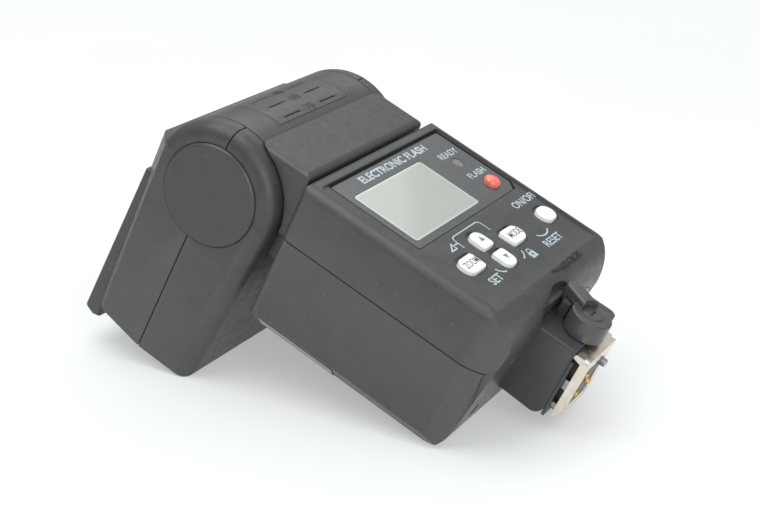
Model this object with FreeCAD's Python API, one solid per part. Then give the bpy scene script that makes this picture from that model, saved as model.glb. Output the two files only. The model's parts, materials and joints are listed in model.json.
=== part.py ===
import FreeCAD, Part
import math
import os

# Shoe-mount flash unit: a battery body on a hot-shoe foot, a neck that swivels on
# the body and a lamp head that tilts about the neck's drum.
# Millimetres. Origin: centre of the shoe foot's underside. +Z runs from the foot to
# the head, +Y points to the user's side with the controls, -Y to the subject.

V = FreeCAD.Vector
X_AXIS = V(1, 0, 0)
Y_AXIS = V(0, 1, 0)
Z_AXIS = V(0, 0, 1)

# ---- clearances --------------------------------------------------------------
seam_gap = 0.32               # shadow gap between two mating shells
part_gap = 0.1                # clearance between fixed pieces
move_gap = 0.3                # clearance between pieces that move past each other
fit_gap = 0.05                # radial clearance of a shaft in its bore
press_gap = 0.02              # radial clearance of a pressed or bonded piece
overrun = 1.0                 # how far a cutter passes the face it opens
NEAR = 1e-4                   # two coordinates closer than this count as equal

# ---- body ----------------------------------------------------------------------
body_width = 68.0
body_rear = 19.7              # y of the control face
body_front = -23.0            # y of the front face
body_top = 76.5
bottom_rear = 13.6            # z of the sloping underside at the rear face
bottom_front = 17.8           # z of the sloping underside at the front face
corner_cut = 4.3              # chamfer between the sides and the front
body_wall = 1.8
body_seam = 3.7               # y of the joint between front and rear shells
top_round = 2.6               # roundings seen from behind and from the side
rear_top_round = 2.0
front_top_round = 1.2
front_low_round = 8.0
rear_low_round = 10.0
side_low_round = 10.0
rear_side_round = 3.0         # roundings seen from above
chamfer_round = 0.6
front_round = 1.2
cover_zone = 22.0             # top of the region the underside cover is cut from
cover_screw_head = 1.6
half_width = body_width / 2
wall_inner = body_rear - body_wall

# ---- control face ----------------------------------------------------------------
panel_step = 0.5              # depth of the panel below its rim
rim_width = 3.2
panel_face = body_rear - panel_step
cover_left = half_width - 6.6
cover_right = -half_width + 5.0
cover_top = body_top - 4.2
cover_bottom = cover_top - 26.6
cover_thick = 1.0
cover_sunk = 0.4              # display cover below the body's rear
cover_corner = 2.6            # slanted corner at the cover's lower -X end
cover_moat = (0.9, 1.4)       # groove above the cover and on its low -X side
cover_face = body_rear - cover_sunk
cover_back = cover_face - cover_thick
window_left = cover_left - 2.3
window_right = window_left - 35.0
window_top = cover_top - 5.2
window_bottom = window_top - 19.4
window_radius = 1.0
case_margin = 1.6             # display module's case round its window
button_travel = 0.6
button_proud = 0.9
lamp_spot = (cover_right + 7.4, cover_top - 11.3)
lamp_radius = 1.7
test_spot = (cover_right + 6.5, cover_top - 21.6)
test_radius = 2.35
test_proud = 1.7
test_dome = 1.1               # rounding of the test button's top edge
power_spot = (-half_width + 9.1, 34.5)
power_key = (6.7, 5.4)
pad_spot = (half_width - 26.55, 34.85)      # centre of the four-way group
pad_reach = 12.5              # from that centre to the left and right keys
pad_rise = 3.8                # from that centre to the up and down keys
side_key = (7.9, 5.4)
arrow_key = (5.4, 5.8)
key_round = 2.5               # outer corners of the side keys and the power button
arrow_round = 2.3             # outer corners of the arrow keys
key_corner = 0.9              # the keys' other corners
key_edge = 0.45               # rounding of the keys' front edges
well_grow = 0.8               # shallow well round each key
well_depth = 0.4
flange_grow = 0.4             # collar that keeps each key in its shell
flange_back = wall_inner - 1.3
stem_radius = 1.0
stem_end = wall_inner - 1.9
board_back = wall_inner - 4.9
board_thick = 1.2
dome_top = stem_end - button_travel - part_gap

# ---- red window on the front -------------------------------------------------------
af_high = body_top - 3.1
af_low = af_high - 23.1
af_proud = 0.3
af_wrap = 3.7                 # how far the window wraps onto each corner chamfer

# ---- neck and head axes ------------------------------------------------------------
tilt_y = 1.7
tilt_z = body_top + 21.5
drum_radius = 18.3
neck_rear = body_rear
neck_floor = body_top + 0.8
neck_shelf = neck_floor + 15.5              # top of the flat rear face
neck_front = tilt_y - 8.3
neck_wall = 2.0
swivel_radius = 8.0
tube_wall = 1.8
bush_wall = 3.0
bush_floor = body_top - 3.1
insert_half = 17.0            # angle scale let into the drum
insert_low, insert_high = -9.0, 95.0        # degrees round the drum, up from the rear
insert_sunk = 0.8
tick_angles = (-3.6, 12.0, 28.0)
tick_reach = (5.0, 12.6)
tick_half = 0.17
tick_depth = 0.35

# ---- head ----------------------------------------------------------------------------
head_width = 68.0
cheek_thick = 6.0             # from the drum's end to the head's side
head_front = -49.1
head_front_top = head_front + 2.6
head_front_knee = tilt_z + 2.0
head_floor_front = tilt_z - 13.9
crease_z = tilt_z + 16.1      # where the side turns into the sloping shoulder
shoulder_in = 5.6
head_top = crease_z + 4.3
head_top_rear = 6.3
head_wall = 2.0
head_seam = tilt_z + 1.0      # z of the shell joint over the tilt axis
head_seam_slope = 0.026
rim_fillet = 3.8
half_head = head_width / 2
cheek_inner = half_head - cheek_thick
drum_width = 2 * (cheek_inner - 0.4)
neck_width = 2 * (cheek_inner + 1.7)
drum_clear = drum_radius + 0.4
drum_shell = drum_clear + 1.8
pivot_radius = 4.0
pivot_wall = 1.4
cap_radius = drum_radius - 5.0
cap_sunk = 0.8
cap_proud = 0.7
cap_chamfer = 0.5
release_radius = 6.0
release_travel = 1.5
release_back = -half_head + release_travel + 1.1
lens_half = half_head - 7.5
lens_low = tilt_z - 9.0
lens_high = lens_low + 20.6
bezel_band = 2.4
lens_front = head_front_top + 1.3
lens_thick = 1.5
groove_pitch = 1.3
groove_high = 0.9
groove_deep = 0.7

# ---- raised housing with the wide-angle panel --------------------------------------------
housing_half = half_head - 4.4
housing_rear = -5.5
housing_front = head_front - 4.5
housing_base = head_top - 2.0
housing_top_rear = housing_base + 2.8
housing_top_front = housing_base + 4.9
panel_half = housing_half - 4.4
panel_thick = 0.9
panel_slot = 1.2
panel_length = 41.0
panel_floor = housing_base + 0.8

# ---- zoom mechanism ------------------------------------------------------------------------
zoom_travel = 9.0
reflector_half = lens_half - 2.5
reflector_depth = 12.0
reflector_mouth = 18.4
reflector_throat = 7.0
reflector_rear = lens_front + zoom_travel + reflector_depth + 2.2
reflector_wall = 0.8
lamp_centre_z = tilt_z - 0.8
tube_radius = 1.8
tube_y = reflector_rear - 4.0
rail_radius = 1.0
rail_x = half_head - 5.0
rail_z = tilt_z - 6.4
rail_rear = reflector_rear + 3.2
rail_boss = 2.0
screw_x = 18.0
screw_z = tilt_z + 12.7
motor_radius = 3.2
motor_length = 8.0
screw_spare = 3.0             # screw end behind the motor with the zoom drawn back
motor_rear = reflector_rear + 1.0
motor_front = motor_rear - motor_length

# ---- shoe foot -------------------------------------------------------------------------------
foot_width = 18.6             # standard accessory-shoe foot
foot_length = 18.9
foot_thick = 2.0
shoe_gap = 2.2                # room for the shoe's lips above the plate
block_floor = foot_thick + shoe_gap
block_half = foot_width / 2 + 0.7
block_front = -11.0
block_rear = 10.4
block_top = 20.4
plate_window = (5.7, 6.0)     # half width and half length of the hole for the contacts
pin_spots = [(4.2, -2.6), (0.0, 0.0), (-4.2, -2.6), (4.2, 3.4)]
pin_radius = 0.8
pin_proud = 0.45
pin_round = 0.4
lock_spot = (-4.2, 4.4)
lock_radius = 1.1
lock_proud = 1.6
collar_grow = 0.5
collar_rise = 1.2
foot_screw_x = foot_width / 2 - 1.9
foot_screw_y = -6.8
foot_screw_radius = 0.9
lever_z = 6.9
lever_face = 16.2
lever_radius = 5.4
lever_reach = 10.8
lever_lean = 28.0             # degrees from vertical, locked
lever_cap_radius = 2.8
lever_shaft = 1.6
pocket_radius = lever_reach + overrun
pocket_floor = lever_face - 1.2

# ---- batteries ---------------------------------------------------------------------------------
cell_radius = 7.1
cell_length = 50.5
cell_pitch = 2 * cell_radius + 0.4
holder_wall = 0.9
cell_y = body_front + body_wall + holder_wall + part_gap + cell_radius + 1.9
cell_z = bottom_front + body_wall + holder_wall + part_gap + cell_radius + 1.9
cell_start = -cell_length / 2 - 0.75
cell_end = cell_start + cell_length
cell_spots = [(cell_y + i * cell_pitch, cell_z + j * cell_pitch) for i in (0, 1) for j in (0, 1)]
nub_length = 1.0
nub_radius = 2.7
door_pin_radius = 0.75
knuckle_radius = 1.6
door_relief = 2.3             # room behind the hinge for the open door's edge
door_front = body_front + corner_cut + 0.3
door_axis = (-half_width + knuckle_radius, cell_y + cell_pitch + cell_radius + 1.8)
door_low = cell_z - cell_radius - 0.5
door_high = door_low + 2 * cell_pitch + 1.0
door_gap = 0.2                # gap all round the closed door
latch_spot = (door_front + 6.8, door_low + 15.0)
latch_slot = 0.9              # depth of the latch's slot in the door
latch_travel = 2.0
grip_half = 0.3               # half width of the door's grip grooves
pin_end = 1.6                 # hinge pin beyond the door at each end


# ---- helpers ---------------------------------------------------------------------
def rounded(corners):
    """Closed 2-D outline from (a, b, radius) corners, with arcs at the corners."""
    count = len(corners)
    runs = []
    for i in range(count):
        a, b, radius = corners[i]
        here = V(a, b, 0)
        back = V(*corners[i - 1][:2], 0) - here
        ahead = V(*corners[(i + 1) % count][:2], 0) - here
        back.normalize()
        ahead.normalize()
        if radius <= 0:
            runs.append((here, here, here))
            continue
        half = back.getAngle(ahead) / 2
        reach = radius / math.tan(half)
        bisector = back + ahead
        bisector.normalize()
        middle = here + bisector * (radius / math.sin(half) - radius)
        runs.append((here + back * reach, middle, here + ahead * reach))
    return runs


def placed(point, plane, level):
    """A 2-D point put on the XY, XZ or YZ plane at the given level."""
    if plane == "XY":
        return V(point.x, point.y, level)
    if plane == "XZ":
        return V(point.x, level, point.y)
    return V(level, point.x, point.y)


def prism(plane, corners, low, high):
    """Solid between two levels, with a rounded outline on the named plane."""
    runs = rounded(corners)
    edges = []
    for i, (enter, middle, leave) in enumerate(runs):
        if enter.distanceToPoint(leave) > 1e-6:
            arc = Part.Arc(*[placed(p, plane, low) for p in (enter, middle, leave)])
            edges.append(arc.toShape())
        following = runs[(i + 1) % len(runs)][0]
        if leave.distanceToPoint(following) > 1e-6:
            ends = [placed(p, plane, low) for p in (leave, following)]
            edges.append(Part.LineSegment(*ends).toShape())
    face = Part.Face(Part.Wire(Part.__sortEdges__(edges)))
    normal = {"XY": Z_AXIS, "XZ": Y_AXIS, "YZ": X_AXIS}[plane]
    return face.extrude(normal * (high - low))


def slab(low, high):
    """Axis-aligned box between two corners."""
    size = [high[i] - low[i] for i in range(3)]
    return Part.makeBox(*size, V(*low))


def rod(axis, radius, start, end, u, v):
    """Cylinder along an axis; u and v are the other two coordinates in X, Y, Z order."""
    base = {"x": V(start, u, v), "y": V(u, start, v), "z": V(u, v, start)}[axis]
    way = {"x": X_AXIS, "y": Y_AXIS, "z": Z_AXIS}[axis]
    return Part.makeCylinder(radius, end - start, base, way)


def ring(axis, outer, inner, start, end, u, v):
    return rod(axis, outer, start, end, u, v).cut(rod(axis, inner, start - overrun, end + overrun, u, v))


def rectangle(left, right, low, high, radius):
    return [(left, low, radius), (right, low, radius), (right, high, radius), (left, high, radius)]


def join(shapes):
    result = shapes[0]
    for shape in shapes[1:]:
        result = result.fuse(shape)
    return result.removeSplitter()


def rounded_edges(shape, radius, chosen):
    """Fillet the edges for which chosen(edge) holds."""
    edges = [edge for edge in shape.Edges if chosen(edge)]
    return largest(shape.makeFillet(radius, edges))


def largest(shape):
    return max(shape.Solids, key=lambda solid: solid.Volume)


def export(name, shape):
    shape.exportStep("parts/%s.step" % name)


# ---- body ------------------------------------------------------------------------
def body_envelope(inset):
    """Outer form of the body, or the same form drawn in by inset."""
    half = half_width - inset
    rear = body_rear - inset
    front = body_front + inset
    top = body_top - inset
    side = [
        (rear, top, rear_top_round), (front, top, front_top_round),
        (front, bottom_front + inset, front_low_round - inset),
        (rear, bottom_rear + inset, rear_low_round - inset),
    ]
    across = [
        (half, top, top_round), (half, bottom_rear + inset, side_low_round - inset),
        (-half, bottom_rear + inset, side_low_round - inset), (-half, top, top_round),
    ]
    cut_x = half - corner_cut
    cut_y = front + corner_cut
    plan = [
        (half, rear, rear_side_round), (half, cut_y, chamfer_round),
        (cut_x, front, front_round), (-cut_x, front, front_round),
        (-half, cut_y, chamfer_round), (-half, rear, rear_side_round),
    ]
    long_way = prism("YZ", side, -half - overrun, half + overrun)
    short_way = prism("XZ", across, front - overrun, rear + overrun)
    upright = prism("XY", plan, 0, top + overrun)
    return long_way.common(short_way).common(upright)


def lever_pocket(extra, start):
    """Scoop in the body's lower rear edge that the lever's tab swings through."""
    return rod("y", pocket_radius + extra, start, body_rear + overrun, 0, lever_z)


def bottom_outline(inset):
    """Underside cover seen from below, drawn in by inset."""
    half = half_width - 2.6 - inset
    front = body_front + 6.6 + inset
    wing = half_width - 13.0
    wing_rear = block_rear + 0.2 - inset
    throat = block_half + 3.0 - inset
    throat_rear = block_rear + 2.0 - inset
    return [
        (half - 2.0, front, 3.0), (half, body_seam, 2.0), (wing, wing_rear, 5.0),
        (throat, throat_rear, 1.0), (-throat, throat_rear, 1.0), (-wing, wing_rear, 5.0),
        (-half, body_seam, 2.0), (-half + 2.0, front, 3.0),
    ]


def key_outline(spot, size, side, grow):
    """Key outline, enlarged by grow, rounded on its left, right, up or down side or on all."""
    x, z = spot
    w, h = size[0] / 2 + grow, size[1] / 2 + grow
    small, big, wide = key_corner + grow, key_round + grow, arrow_round + grow
    radii = {
        "left": (small, big, big, small), "right": (big, small, small, big),
        "up": (small, small, wide, wide), "down": (wide, wide, small, small),
        "all": (big, big, big, big),
    }[side]
    spots = [(x - w, z - h), (x + w, z - h), (x + w, z + h), (x - w, z + h)]
    return [(a, b, r) for (a, b), r in zip(spots, radii)]


def keys(grow):
    """Outlines of the four-way group's keys and the power button, enlarged by grow."""
    x, z = pad_spot
    return {
        "zoom_button": key_outline((x + pad_reach, z), side_key, "left", grow),
        "mode_button": key_outline((x - pad_reach, z), side_key, "right", grow),
        "up_button": key_outline((x, z + pad_rise), arrow_key, "up", grow),
        "down_button": key_outline((x, z - pad_rise), arrow_key, "down", grow),
        "power_button": key_outline(power_spot, power_key, "all", grow),
    }


def cover_outline(grow, above=0.0, aside=0.0):
    """Display cover outline, enlarged by grow and by more at its top and its -X side."""
    left = cover_left + grow
    right = cover_right - grow - aside
    top = cover_top + grow + above
    low = cover_bottom - grow
    return [
        (left, low, 0.8), (left, top, 0.6), (right, top, 0.6),
        (right, low + cover_corner, 0.3), (right + cover_corner, low, 0.3),
    ]


def window_outline(grow):
    return rectangle(
        window_right - grow, window_left + grow, window_bottom - grow, window_top + grow,
        window_radius,
    )


def rear_openings():
    """Everything that passes through the control face."""
    start, end = wall_inner - overrun, body_rear + overrun
    well_floor = panel_face - well_depth
    cuts = [prism("XZ", outline, start, end) for outline in keys(part_gap).values()]
    cuts += [prism("XZ", outline, well_floor, end) for outline in keys(well_grow).values()]
    cuts.append(rod("y", test_radius + part_gap, start, end, *test_spot))
    cuts.append(rod("y", lamp_radius + part_gap, start, end, *lamp_spot))
    cuts.append(prism("XZ", window_outline(0.0), start, end))
    pocket = cover_outline(part_gap, *cover_moat)
    cuts.append(prism("XZ", pocket, cover_back - part_gap, end))
    return cuts


def front_window_outline(grow):
    """Red window across the front, wrapped onto both corner chamfers."""
    face = body_front - af_proud - grow
    edge = half_width - corner_cut
    along = math.sqrt(2) * grow
    tip = (edge + af_wrap + along, body_front - af_proud + af_wrap)
    back = (edge + af_wrap - 1.4, body_front + af_wrap + 0.9 + along)
    inner = (edge - 1.0, body_front + 1.5 + grow)
    return [
        (*tip, 0.4), (edge, face, 1.0), (-edge, face, 1.0), (-tip[0], tip[1], 0.4),
        (-back[0], back[1], 0), (-inner[0], inner[1], 0.5), (*inner, 0.5), (*back, 0),
    ]


def door_opening(grow):
    x, y = door_axis
    low, high = door_low - grow, door_high + grow
    outside = -half_width - overrun
    outer = slab((outside, door_front - grow, low), (x + 2.6, y, high))
    relief = slab((outside, y - overrun, low), (x, y + door_relief, high))
    return join([outer, relief, rod("z", knuckle_radius + grow, low, high, x, y)])


def body_shells():
    """Rear and front shells and the underside cover, cut from one hollow form."""
    outer = body_envelope(0)
    hollow = outer.cut(body_envelope(body_wall))
    hollow = hollow.fuse(lever_pocket(body_wall, pocket_floor - body_wall + part_gap).common(outer))
    hollow = hollow.cut(lever_pocket(0, pocket_floor))
    bush_hole = swivel_radius + bush_wall + part_gap
    hollow = hollow.cut(rod("z", bush_hole, bush_floor, body_top + overrun, 0, tilt_y))

    cover = hollow.common(prism("XY", bottom_outline(0), 0, cover_zone))
    hollow = hollow.cut(prism("XY", bottom_outline(-part_gap * 2), 0, cover_zone))
    hollow = hollow.cut(door_opening(door_gap))

    behind = slab((-half_width, body_seam + seam_gap / 2, 0), (half_width, body_rear, body_top))
    before = slab((-half_width, body_front, 0), (half_width, body_seam - seam_gap / 2, body_top))
    rear = hollow.common(behind)
    front = hollow.common(before)

    rim_half = half_width - rim_width
    rim_top = body_top - rim_width
    rim = [(rim_half, 0, 0), (rim_half, rim_top, 1.2), (-rim_half, rim_top, 1.2), (-rim_half, 0, 0)]
    rear = rear.cut(prism("XZ", rim, panel_face, body_rear + overrun))
    for cutter in rear_openings():
        rear = rear.cut(cutter)
    window = front_window_outline(2 * part_gap)
    front = front.cut(prism("XY", window, af_low - part_gap, af_high + part_gap))

    grow = 2 * part_gap
    neck_hole = rectangle(-block_half - part_gap, block_half + part_gap,
                          block_front - grow, block_rear + grow, 0.6)
    cover = cover.cut(prism("XY", neck_hole, 0, cover_zone))
    notch = slab((-block_half - move_gap, block_rear - overrun, 0),
                 (block_half + move_gap, pocket_floor + move_gap, block_floor + 12.0))
    rear = rear.cut(notch)
    cover = cover.cut(notch)
    for x, y in cover_screw_spots():
        cover = cover.cut(rod("z", cover_screw_head + part_gap, 0, cover_zone, x, y))
    pin_bore = door_pin_radius + press_gap
    pin_low = door_low - pin_end - part_gap
    rear = rear.cut(rod("z", pin_bore, pin_low, door_high + pin_end + part_gap, *door_axis))
    return largest(rear), largest(front), largest(cover)


def cover_screw_spots():
    near, wide = half_width - 16.4, half_width - 12.0
    return [(near, 2.4), (-near, 2.4), (wide, -12.0), (-wide, -12.0)]


def underside(y):
    """Height of the sloping underside at a distance along Y."""
    share = (y - body_front) / (body_rear - body_front)
    return bottom_front + share * (bottom_rear - bottom_front)


def cover_screws():
    """Cross-head screws that hold the underside cover."""
    screws = []
    slot = 0.25
    for x, y in cover_screw_spots():
        level = underside(y) + 0.5
        reach = cover_screw_head - 0.5
        head = rod("z", cover_screw_head, level, level + 1.1, x, y)
        shank = rod("z", cover_screw_head / 2, level + 1.0, level + 4.0, x, y)
        cross = slab((x - reach, y - slot, level - part_gap), (x + reach, y + slot, level + 0.5))
        turned = slab((x - slot, y - reach, level - part_gap), (x + slot, y + reach, level + 0.5))
        screws.append(head.fuse(shank).cut(cross).cut(turned))
    return Part.makeCompound(screws)


def display_cover():
    plate = prism("XZ", cover_outline(0.0), cover_back, cover_face)
    plate = plate.cut(prism("XZ", window_outline(0.0), 0, body_rear))
    plate = plate.cut(rod("y", lamp_radius + part_gap, 0, body_rear, *lamp_spot))
    return plate.cut(rod("y", test_radius + part_gap, 0, body_rear, *test_spot))


def display_module():
    glass = prism("XZ", window_outline(-part_gap), wall_inner - 0.5, cover_face)
    case = prism("XZ", window_outline(case_margin), wall_inner - 2.9, wall_inner - 0.2)
    return glass.fuse(case).removeSplitter()


def ready_lamp():
    lens = rod("y", lamp_radius, wall_inner - 0.6, cover_face - part_gap, *lamp_spot)
    flange = rod("y", lamp_radius + 0.7, wall_inner - 1.2, wall_inner - 0.2, *lamp_spot)
    return lens.fuse(flange).removeSplitter()


def test_button():
    face = cover_face + test_proud
    cap = rod("y", test_radius, flange_back + part_gap, face, *test_spot)
    cap = rounded_edges(cap, test_dome, lambda e: abs(e.BoundBox.YMin - face) < NEAR)
    flange = rod("y", test_radius + flange_grow, flange_back, wall_inner - move_gap, *test_spot)
    return join([cap, flange, button_stem(*test_spot)])


def key_button(outline, wide_outline):
    face = panel_face + button_proud
    cap = prism("XZ", outline, flange_back + part_gap, face)
    cap = rounded_edges(cap, key_edge, lambda e: abs(e.BoundBox.YMin - face) < NEAR
                        and abs(e.BoundBox.YMax - face) < NEAR)
    flange = prism("XZ", wide_outline, flange_back, wall_inner - move_gap)
    middle = cap.CenterOfMass
    return join([cap, flange, button_stem(middle.x, middle.z)])


def button_stem(x, z):
    return rod("y", stem_radius, stem_end, flange_back + part_gap, x, z)


def buttons():
    wide = keys(flange_grow)
    made = {name: key_button(outline, wide[name]) for name, outline in keys(0).items()}
    made["test_button"] = test_button()
    return made


def switch_board():
    return slab((-half_width + 6.0, board_back - board_thick, bottom_rear + 8.4),
                (half_width - 4.0, board_back, body_top - 12.0))


def dome_switches():
    domes = []
    for shape in buttons().values():
        box = shape.BoundBox
        x = (box.XMin + box.XMax) / 2
        z = (box.ZMin + box.ZMax) / 2
        base = rod("y", 1.9, board_back, board_back + 1.0, x, z)
        domes.append(base.fuse(rod("y", 1.1, board_back + 0.9, dome_top, x, z)).removeSplitter())
    return Part.makeCompound(domes)


def main_capacitor():
    half = half_width - 10.0
    can = rod("x", 7.5, -half, half, body_front + 10.7, body_top - 16.1)
    return rounded_edges(can, 0.8, lambda e: True)


# ---- batteries -----------------------------------------------------------------------
def battery_cells():
    cells = []
    can_end = cell_end - nub_length
    for y, z in cell_spots:
        can = rod("x", cell_radius, cell_start, can_end, y, z)
        cells.append(can.fuse(rod("x", nub_radius, can_end, cell_end, y, z)).removeSplitter())
    return Part.makeCompound(cells)


def battery_holder():
    """Box round the four cells, open towards the door."""
    reach = cell_radius + part_gap
    low = (cell_start - 2.4, cell_y - reach, cell_z - reach)
    high = (cell_end + 2.9, cell_y + cell_pitch + reach, cell_z + cell_pitch + reach)
    outer = slab((low[0], low[1] - holder_wall, low[2] - holder_wall),
                 [v + holder_wall for v in high])
    return outer.cut(slab((low[0] - overrun, low[1], low[2]), high))


def battery_contacts():
    """Contact plates at the closed end, with a spring ring for each cell."""
    plates = []
    reach = cell_radius - 2.1
    for j in (0, 1):
        z = cell_z + j * cell_pitch
        plates.append(slab((cell_end + 1.6, cell_y - reach, z - reach),
                           (cell_end + 2.1, cell_y + cell_pitch + reach, z + reach)))
        for y in (cell_y, cell_y + cell_pitch):
            plates.append(ring("x", 2.6, 1.8, cell_end + part_gap, cell_end + 1.5, y, z))
    return Part.makeCompound(plates)


def battery_door():
    x, y = door_axis
    outside = -half_width - overrun
    panel = slab((-half_width, door_front, door_low), (x + 0.2, y, door_high))
    panel = rounded_edges(panel, 2.2, lambda e: abs(e.BoundBox.YMin - door_front) < NEAR
                          and e.BoundBox.YLength < NEAR and e.BoundBox.XLength > 1)
    knuckle = rod("z", knuckle_radius, door_low, door_high, x, y)
    door = panel.fuse(knuckle).removeSplitter()
    bore = rod("z", door_pin_radius + fit_gap, door_low - overrun, door_high + overrun, x, y)
    door = door.cut(bore)
    door = door.cut(prism("YZ", latch_outline(move_gap, latch_travel), outside, -half_width + latch_slot))
    for level in (2.0, 4.0, 24.0, 26.0):
        z = door_low + level
        door = door.cut(slab((outside, door_front + 6.4, z - grip_half),
                             (-half_width + 0.4, y - 6.0, z + grip_half)))
    return door


def latch_outline(grow, travel):
    """Thumb latch, enlarged by grow and lengthened downwards by its travel for its slot."""
    y, z = latch_spot
    half, rise = 2.7 + grow, 3.7 + grow
    return rectangle(y - half, y + half, z - rise - travel, z + rise, 0.9)


def door_latch():
    y, z = latch_spot
    face = -half_width - part_gap
    thumb = prism("YZ", latch_outline(0, 0), face, -half_width + latch_slot - 0.2)
    for i in range(4):
        level = z - 2.4 + i * 1.5
        thumb = thumb.cut(slab((face - part_gap, y - 2.0, level), (face + 0.3, y + 2.0, level + 0.5)))
    return thumb


def door_pin():
    return rod("z", door_pin_radius, door_low - pin_end, door_high + pin_end, *door_axis)


def door_contacts():
    plates = []
    inside = door_axis[0] + 0.5
    for y in (cell_y, cell_y + cell_pitch):
        plates.append(slab((inside, y - 4.0, cell_z - 4.0),
                           (inside + 0.5, y + 4.0, cell_z + cell_pitch + 4.0)))
    return Part.makeCompound(plates)


# ---- neck -----------------------------------------------------------------------------
def neck_form():
    drum = rod("x", drum_radius, -drum_width / 2, drum_width / 2, tilt_y, tilt_z)
    wedge_side = [
        (neck_front, neck_floor, 0.6), (neck_rear, neck_floor, 1.8),
        (neck_rear, neck_shelf, 0.3), (tilt_y, neck_shelf, 0), (neck_front, neck_floor + 6, 0),
    ]
    wedge = prism("YZ", wedge_side, -neck_width / 2, neck_width / 2)
    plan = rectangle(-neck_width / 2, neck_width / 2, -30, neck_rear, 1.6)
    wedge = wedge.common(prism("XY", plan, neck_floor - 1, neck_shelf + 1))
    for start in (-half_head, drum_width / 2):
        end = start + half_head - drum_width / 2
        wedge = wedge.cut(rod("x", drum_clear + part_gap, start, end, tilt_y, tilt_z))
        wedge = wedge.cut(slab((start, neck_front - overrun, neck_floor - overrun),
                               (end, tilt_y, tilt_z)))
    return drum.fuse(wedge).removeSplitter()


def drum_sector(outer, inner, half, low, high):
    """Curved strip round the tilt axis between two angles, for half a width each side."""
    tube = ring("x", outer, inner, -half, half, tilt_y, tilt_z)
    reach = outer * 2
    points = [V(0, tilt_y, tilt_z)]
    for i in range(5):
        angle = math.radians(low + (high - low) * i / 4)
        points.append(V(0, tilt_y + reach * math.cos(angle), tilt_z + reach * math.sin(angle)))
    points.append(points[0])
    fan = Part.Face(Part.makePolygon(points)).extrude(V(2 * half + 2, 0, 0))
    fan.translate(V(-half - 1, 0, 0))
    return tube.common(fan)


def neck_housing():
    form = neck_form()
    hollow = rod("x", drum_radius - neck_wall, -drum_width / 2 + neck_wall,
                 drum_width / 2 - neck_wall, tilt_y, tilt_z)
    form = form.cut(hollow)
    form = form.cut(rod("z", swivel_radius + press_gap, neck_floor - overrun, tilt_z, 0, tilt_y))
    form = form.cut(rod("x", pivot_radius + fit_gap, -half_head, half_head, tilt_y, tilt_z))
    return form.cut(drum_sector(drum_radius + overrun, drum_radius - insert_sunk, insert_half,
                                insert_low, insert_high))


def angle_scale():
    """Inset scale on the drum, with engraved tick lines each side of its numbers."""
    plate = drum_sector(drum_radius + press_gap, drum_radius - insert_sunk + press_gap,
                        insert_half - part_gap, insert_low + 0.4, insert_high - 0.4)
    near, far = tick_reach
    for angle in tick_angles:
        for low, high in ((-far, -near), (near, far)):
            groove = slab((low, drum_radius - tick_depth, -tick_half),
                          (high, drum_radius + overrun, tick_half))
            groove.rotate(V(0, 0, 0), X_AXIS, angle)
            groove.translate(V(0, tilt_y, tilt_z))
            plate = plate.cut(groove)
    return plate


def swivel_tube():
    return ring("z", swivel_radius, swivel_radius - tube_wall, bush_floor - 7.4, neck_floor + 3.0,
                0, tilt_y)


def swivel_bush():
    bore = swivel_radius + fit_gap
    flange_top = body_top - body_wall - part_gap
    sleeve = ring("z", swivel_radius + bush_wall, bore, bush_floor, body_top + 0.4, 0, tilt_y)
    flange = ring("z", swivel_radius + bush_wall + 1.6, bore, bush_floor, flange_top, 0, tilt_y)
    return sleeve.fuse(flange).removeSplitter()


def swivel_retainer():
    bore = swivel_radius + press_gap
    return ring("z", swivel_radius + 4.0, bore, bush_floor - 2.4, bush_floor - 0.4, 0, tilt_y)


# ---- head ------------------------------------------------------------------------------
def tangent_foot():
    """Point where the head's floor line touches the rear arc."""
    dy = head_front - tilt_y
    dz = head_floor_front - tilt_z
    reach = math.hypot(dy, dz)
    angle = math.atan2(dz, dy) + math.acos(drum_radius / reach)
    return tilt_y + drum_radius * math.cos(angle), tilt_z + drum_radius * math.sin(angle)


def head_profile(inset, front_radius):
    """Side outline of the head ahead of its round cheeks."""
    foot_y, foot_z = tangent_foot()
    rear = head_top_rear - inset
    return [
        (head_front + inset, head_floor_front + inset, front_radius),
        (foot_y, foot_z + inset, 0), (tilt_y, tilt_z, 0), (rear, tilt_z, 0),
        (rear, head_top - inset, 0), (head_front_top + inset, head_top - inset, 0.5),
        (head_front_top + inset, crease_z, 0), (head_front + inset, head_front_knee, 3.0),
    ]


def head_form(inset, soft):
    """Outer form of the head, or the same form drawn in by inset; soft rounds its rim."""
    half = half_head - inset
    forward = prism("YZ", head_profile(inset, 0), -half, half)
    disc = rod("x", drum_radius - inset, -half, half, tilt_y, tilt_z)
    if soft:
        forward = rounded_edges(forward, rim_fillet, floor_edge)
        forward = forward.common(prism("YZ", head_profile(inset, 2.0), -half, half))
        disc = rounded_edges(disc, rim_fillet, lambda e: e.BoundBox.XLength < NEAR)
    drop = head_top - crease_z
    shoulder = crease_z - inset * 0.4
    peak = shoulder + drop - inset * 0.6
    section = [
        (half, 60.0, 0), (half, shoulder, 0), (half - shoulder_in, peak, 0.6),
        (-half + shoulder_in, peak, 0.6), (-half, shoulder, 0), (-half, 60.0, 0),
    ]
    cross = prism("XZ", section, -70, 40)
    return forward.fuse(disc).removeSplitter().common(cross)


def floor_edge(edge):
    """The two long lower edges of the head's sides."""
    box = edge.BoundBox
    return box.XLength < NEAR and box.ZMax < tilt_z - 8.0 and box.YLength > 20


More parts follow.
